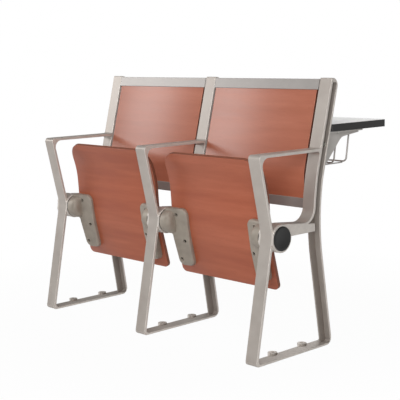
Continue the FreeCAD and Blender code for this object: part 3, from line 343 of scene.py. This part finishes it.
finishes = {
    "frame_coat": powderCoat("powderCoatOnCastAluminium", frameCoat),
    "bracket_coat": powderCoat("powderCoatOnPressedSteel", gussetCoat),
    "rail_coat": powderCoat("powderCoatOnExtrusion", railCoat),
    "seat_casting": powderCoat("powderCoatOnDieCasting", castingCoat),
    "wire_coat": powderCoat("powderCoatOnWire", wireCoat),
    "seat_plywood": cherryVeneer("cherryVeneerOnSeatPly", seatVeneer),
    "back_plywood": cherryVeneer("cherryVeneerOnBackPly", backVeneer),
    "black_plastic": mouldedPlastic("mouldedPolypropyleneBlack", capPlastic),
    "desk_edging": mouldedPlastic("extrudedVinylEdgingBlack", edgingPlastic),
    "nylon": mouldedPlastic("mouldedNylonNatural", nylonPlastic),
    "buffer_rubber": mouldedPlastic("mouldedRubberBlack", bufferRubber),
    "bright_steel": turnedSteel("groundShaftSteel", shaftSteel),
    "spring_steel": turnedSteel("oiledSpringWire", springSteel),
    "zinc_fastener": turnedSteel("zincPlatedSteel", zincSteel),
    "dark_screw": turnedSteel("blackOxideSteel", blackOxide),
    "desk_laminate": whiteLaminate("whiteMelamineLaminate", deskSheet),
}
print("finishes made:", len(finishes))

for subpart in frame["record"]["subparts"]:
    node = frame["nodes"][subpart["node"]]
    if not node.material_slots:
        node.data.materials.append(None)
    for materialSlot in node.material_slots:
        materialSlot.material = finishes[subpart["material_slot"]]


# Making pieces

smoothAngle = 35  # in degrees; a sharper fold shows as an edge


def finishPiece(bm, name, slotName, body, standsFor):
    mesh = bpy.data.meshes.new(name)
    bm.to_mesh(mesh)
    bm.free()
    for polygon in mesh.polygons:
        polygon.use_smooth = True
    mesh.set_sharp_from_angle(angle=math.radians(smoothAngle))
    mesh.materials.append(finishes[slotName])
    piece = bpy.data.objects.new(name, mesh)
    bpy.context.scene.collection.objects.link(piece)
    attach(piece, body)
    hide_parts(*standsFor)


def walkRuns(runs, start, distance):
    # each run is (length, lean at its start, lean at its end); a lean to the front is positive
    y, z = start
    for length, leanFirst, leanLast in runs:
        step = min(distance, length)
        rate = (leanLast - leanFirst) / length
        lean = leanFirst + rate * step
        if leanFirst == leanLast:
            y -= step * math.sin(leanFirst)
            z += step * math.cos(leanFirst)
        else:
            y += (math.cos(lean) - math.cos(leanFirst)) / rate
            z += (math.sin(lean) - math.sin(leanFirst)) / rate
        distance -= step
        if distance <= 0:
            break
    return y, z, lean


def leanOf(low, high):
    return math.atan2(low[0] - high[0], high[1] - low[1])


def bendRuns(points, radii):
    # the runs of a bent line through (y, z) points, in metres, with an arc at each inner point
    runs = []
    spent = 0.0
    for i in range(len(points) - 1):
        lean = leanOf(points[i], points[i + 1])
        length = math.dist(points[i], points[i + 1]) - spent
        spent = 0.0
        if i + 2 < len(points):
            nextLean = leanOf(points[i + 1], points[i + 2])
            spent = radii[i + 1] * math.tan(abs(nextLean - lean) / 2)
            length -= spent
        runs.append((length, lean, lean))
        if spent:
            runs.append((radii[i + 1] * abs(nextLean - lean), lean, nextLean))
    return runs


# each sheet's grain is shifted by its seed times these metres, so that no two sheets are alike
pressing = {"cutEvery": 6, "cornerSegments": 14, "edgeSegments": 3, "grainShift": (2.3, 0.7)}


def formedSheet(sheet, lowX, highX, seed):
    # a flat blank is cut to its outline, given its thickness, and pressed along the bent line
    points = [(p[0] * mm + footCentre.y, p[1] * mm) for p in sheet["line"]]
    runs = bendRuns(points, [radius * mm for radius in sheet["bends"]])
    length = sum(run[0] for run in runs)
    bm = bmesh.new()
    bmesh.ops.create_grid(bm, x_segments=1, y_segments=1, size=1.0)
    for vert in bm.verts:
        vert.co = (lowX if vert.co.x < 0 else highX, 0.0 if vert.co.y < 0 else length, 0.0)
    for atTop, radius in ((True, sheet["topCorner"]), (False, sheet["lowCorner"])):
        if radius:
            corners = [v for v in bm.verts if (v.co.y > length / 2) == atTop and len(v.link_edges) == 2]
            bmesh.ops.bevel(bm, geom=corners, offset=radius * mm, segments=pressing["cornerSegments"],
                            profile=0.5, affect="VERTICES", material=-1)
    raised = bmesh.ops.extrude_face_region(bm, geom=bm.faces[:])["geom"]
    bmesh.ops.translate(bm, verts=[g for g in raised if isinstance(g, bmesh.types.BMVert)],
                        vec=(0, 0, sheet["thickness"] * mm))
    bmesh.ops.recalc_face_normals(bm, faces=bm.faces)
    rims = [e for e in bm.edges if abs(e.verts[0].co.z - e.verts[1].co.z) < tiny]
    bmesh.ops.bevel(bm, geom=rims, offset=sheet["easedEdge"] * mm, segments=pressing["edgeSegments"],
                    profile=0.5, affect="EDGES", material=-1)
    cuts = int(length / (pressing["cutEvery"] * mm))
    for i in range(1, cuts):
        bmesh.ops.bisect_plane(bm, geom=bm.verts[:] + bm.edges[:] + bm.faces[:], dist=tiny,
                               plane_co=(0, length * i / cuts, 0), plane_no=(0, 1, 0))
    flat = bm.verts.layers.float_vector.new("flat")
    shiftX, shiftRun = pressing["grainShift"]
    for vert in bm.verts:
        x, run, depth = vert.co
        vert[flat] = (x + seed * shiftX, run + seed * shiftRun, depth)
        y, z, lean = walkRuns(runs, points[0], run)
        vert.co = (x, y + depth * math.cos(lean), z + depth * math.sin(lean))
    return bm


# a line is the sheet's front face, from its low end up, as depths and heights from the toes of the
# frames, and the bends are the radii at its points
seatSheet = {"line": [(184.2, 212.0), (135.58, 400.0), (124.27, 585.0), (82.21, 655.0)],
             "bends": [0, 675, 319, 0], "thickness": 13, "topCorner": 68, "lowCorner": 20, "easedEdge": 1.6}
backSheet = {"line": [(308.68, 500.0), (303.6, 597.0), (375.97, 883.0)], "bends": [0, 180, 0],
             "thickness": 12, "topCorner": 0, "lowCorner": 0, "easedEdge": 1.0}

for index, bay in enumerate(bayNames):
    low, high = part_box("seat_panel_" + bay)
    blank = formedSheet(seatSheet, low.x, high.x, index + 1)
    finishPiece(blank, "seatShell_" + bay, "seat_plywood", "seat_" + bay, ["seat_panel_" + bay])
    low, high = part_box("back_panel_" + bay)
    blank = formedSheet(backSheet, low.x, high.x, index + 1 + len(bayNames))
    finishPiece(blank, "backShell_" + bay, "back_plywood", "root", ["back_panel_" + bay])
print("plywood shells formed")


hubCap = {"radius": 40.5, "height": 3.5, "dishRadius": 32, "dishSlope": 2, "dishDepth": 0.6, "rimRound": 2.4,
          "rimSteps": 3, "spigotRadius": 38.2, "spigotLength": 12, "wall": 2.5, "sides": 72}


def turnedCap(cap, baseX, side):
    # half of the section, from the middle of the dished face out over the rim to the spigot
    radius, height, rim = cap["radius"], cap["height"], cap["rimRound"]
    dish = height - cap["dishDepth"]
    section = [(0, dish), (cap["dishRadius"] - cap["dishSlope"], dish), (cap["dishRadius"], height),
               (radius - rim, height)]
    for step in range(1, cap["rimSteps"] + 1):
        turn = math.radians(90 * step / cap["rimSteps"])
        section.append((radius - rim + rim * math.sin(turn), height - rim + rim * math.cos(turn)))
    outer = cap["spigotRadius"]
    inner = outer - cap["wall"]
    foot = -cap["spigotLength"]
    section += [(radius, 0), (outer, 0), (outer, foot), (inner, foot), (inner, 0), (0, 0)]
    bm = bmesh.new()
    verts = [bm.verts.new((out * mm, r * mm, 0)) for r, out in section]
    for first, second in zip(verts, verts[1:]):
        bm.edges.new((first, second))
    bmesh.ops.spin(bm, geom=bm.verts[:] + bm.edges[:], cent=(0, 0, 0), axis=(1, 0, 0), angle=math.tau,
                   steps=cap["sides"], use_merge=True)
    bmesh.ops.remove_doubles(bm, verts=bm.verts, dist=tiny)
    pivot = atToe(pivotDepth, pivotHeight)
    bmesh.ops.scale(bm, vec=(side, 1, 1), verts=bm.verts)
    bmesh.ops.translate(bm, vec=(baseX, pivot.y, pivot.z), verts=bm.verts)
    bmesh.ops.recalc_face_normals(bm, faces=bm.faces)
    return bm


for name, side in (("left", -1), ("right", 1)):
    low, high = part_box("end_cap_" + name)
    hubFaceX = high.x - hubCap["height"] * mm if side > 0 else low.x + hubCap["height"] * mm
    blank = turnedCap(hubCap, hubFaceX, side)
    finishPiece(blank, "hubCap_" + name, "black_plastic", "root", ["end_cap_" + name])
print("hub caps turned")


deskEdging = {"cornerRadius": 10, "cornerSegments": 8, "thickness": 2}


def edgingStrip(strip):
    low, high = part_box("desk_edge_band")
    bm = bmesh.new()
    bmesh.ops.create_cube(bm, size=1.0)
    for vert in bm.verts:
        vert.co = [high[i] if vert.co[i] > 0 else low[i] for i in range(3)]
    upright = [e for e in bm.edges if abs(e.verts[0].co.z - e.verts[1].co.z) > 1 * mm]
    bmesh.ops.bevel(bm, geom=upright, offset=strip["cornerRadius"] * mm, segments=strip["cornerSegments"],
                    profile=0.5, affect="EDGES", material=-1)
    levelFaces = [f for f in bm.faces if abs(f.normal.z) > 0.9]
    bmesh.ops.delete(bm, geom=levelFaces, context="FACES")
    bmesh.ops.recalc_face_normals(bm, faces=bm.faces)
    bmesh.ops.solidify(bm, geom=bm.faces[:], thickness=strip["thickness"] * mm)
    bmesh.ops.recalc_face_normals(bm, faces=bm.faces)
    return bm


finishPiece(edgingStrip(deskEdging), "deskEdging", "desk_edging", "root", ["desk_edge_band"])
print("desk edging run round the board")


# Studio: a paper floor under a white world, five square lamps, and the photograph's camera

white = (1, 1, 1, 1)
paperFloor = {"reach": 12.0, "drop": 0.5, "colour": "#c9c9c9", "shadeReach": (0.7, 1.5),
              "whiteShare": (0.97, 1.0)}


def studioFloor(paper):
    bm = bmesh.new()
    bmesh.ops.create_grid(bm, x_segments=1, y_segments=1, size=paper["reach"])
    mesh = bpy.data.meshes.new("studioFloor")
    bm.to_mesh(mesh)
    bm.free()
    floor = bpy.data.objects.new("studioFloor", mesh)
    floor.location.z = -paper["drop"] * mm
    bpy.context.scene.collection.objects.link(floor)
    material = bpy.data.materials.new("paperSweep")
    material.use_nodes = True
    tree = material.node_tree
    tree.nodes.clear()
    # the camera, gloss and glass see white paper, and other light meets the grey sheet
    paths = addNode(tree, "ShaderNodeLightPath").outputs
    direct = addNode(tree, "ShaderNodeMath", {"operation": "MAXIMUM"},
                     {0: paths["Is Camera Ray"], 1: paths["Is Glossy Ray"]})
    seen = addNode(tree, "ShaderNodeMath", {"operation": "MAXIMUM"},
                   {0: direct.outputs[0], 1: paths["Is Transmission Ray"]})
    # the paper turns plain white away from the model, and keeps the model's shadow near it
    place = addNode(tree, "ShaderNodeTexCoord").outputs["Object"]
    away = addNode(tree, "ShaderNodeVectorMath", {"operation": "LENGTH"}, {0: place})
    near, far = paper["shadeReach"]
    least, most = paper["whiteShare"]
    whiter = addNode(tree, "ShaderNodeMapRange",
                     {"From Min": near, "From Max": far, "To Min": least, "To Max": most},
                     {"Value": away.outputs["Value"]})
    share = addNode(tree, "ShaderNodeMath", {"operation": "MULTIPLY"},
                    {0: seen.outputs[0], 1: whiter.outputs[0]})
    sheet = addNode(tree, "ShaderNodeBsdfDiffuse", {"Color": linearColour(paper["colour"])})
    glow = addNode(tree, "ShaderNodeEmission", {"Color": white, "Strength": 1.0})
    mixed = addNode(tree, "ShaderNodeMixShader",
                    links={0: share.outputs[0], 1: sheet.outputs[0], 2: glow.outputs[0]})
    addNode(tree, "ShaderNodeOutputMaterial", links={"Surface": mixed.outputs[0]})
    mesh.materials.append(material)


def studioWorld(strength):
    world = bpy.data.worlds.new("studioWorld")
    bpy.context.scene.world = world
    world.use_nodes = True
    tree = world.node_tree
    tree.nodes.clear()
    # the camera sees white, and the model is lit by a dimmer room
    paths = addNode(tree, "ShaderNodeLightPath").outputs
    room = addNode(tree, "ShaderNodeBackground", {"Color": white, "Strength": strength})
    seen = addNode(tree, "ShaderNodeBackground", {"Color": white, "Strength": 1.0})
    mixed = addNode(tree, "ShaderNodeMixShader",
                    links={0: paths["Is Camera Ray"], 1: room.outputs[0], 2: seen.outputs[0]})
    addNode(tree, "ShaderNodeOutputWorld", links={"Surface": mixed.outputs[0]})


def areaLamp(name, lamp):
    data = bpy.data.lights.new(name, "AREA")
    data.shape = "SQUARE"
    data.size = lamp["size"]
    data.energy = lamp["watts"]
    holder = bpy.data.objects.new(name, data)
    holder.location = lamp["place"]
    beam = Vector(lamp["aim"]) - Vector(lamp["place"])
    holder.rotation_euler = beam.to_track_quat("-Z", "Y").to_euler()
    bpy.context.scene.collection.objects.link(holder)


# places, aims and sizes of the lamps are in metres
studio = {
    "roomLight": 0.17,
    "lamps": {
        "keyLamp": {"place": (2.7, -3.2, 1.7), "aim": (0, 0, 0.5), "size": 1.8, "watts": 62},
        "fillLamp": {"place": (-3.5, -2.3, 2.0), "aim": (-0.2, 0, 0.6), "size": 1.5, "watts": 46},
        "topLamp": {"place": (0.0, -2.3, 3.5), "aim": (0, 0, 0.4), "size": 1.8, "watts": 36},
        "rearLamp": {"place": (-1.4, 3.2, 2.6), "aim": (0, 0.3, 0.7), "size": 1.8, "watts": 36},
        "sideLamp": {"place": (3.9, 0.3, 1.7), "aim": (0.5, 0, 0.5), "size": 1.4, "watts": 12},
    },
}
studioFloor(paperFloor)
studioWorld(studio["roomLight"])
for name, lamp in studio["lamps"].items():
    areaLamp(name, lamp)

# the place, sensor and lens are in millimetres, the turns in degrees, and near and far in metres
viewFinder = {"place": (2713.9, -2275.7, 1005.5), "yaw": 46.35, "pitch": 8.34, "roll": -0.98,
              "lens": 90.87, "sensor": 36.0, "near": 0.05, "far": 60.0}


def photoCamera(view):
    data = bpy.data.cameras.new("photoCamera")
    data.sensor_width = view["sensor"]
    data.sensor_fit = "HORIZONTAL"
    data.lens = view["lens"]
    data.clip_start = view["near"]
    data.clip_end = view["far"]
    camera = bpy.data.objects.new("photoCamera", data)
    turn = Matrix.Rotation(math.radians(view["yaw"]), 4, "Z")
    turn = turn @ Matrix.Rotation(math.radians(90 - view["pitch"]), 4, "X")
    turn = turn @ Matrix.Rotation(math.radians(view["roll"]), 4, "Z")
    camera.matrix_world = Matrix.Translation(footCentre + Vector(view["place"]) * mm) @ turn
    bpy.context.scene.collection.objects.link(camera)
    bpy.context.scene.camera = camera


photoCamera(viewFinder)
bpy.context.scene.view_settings.view_transform = "Standard"
print("studio and camera set")
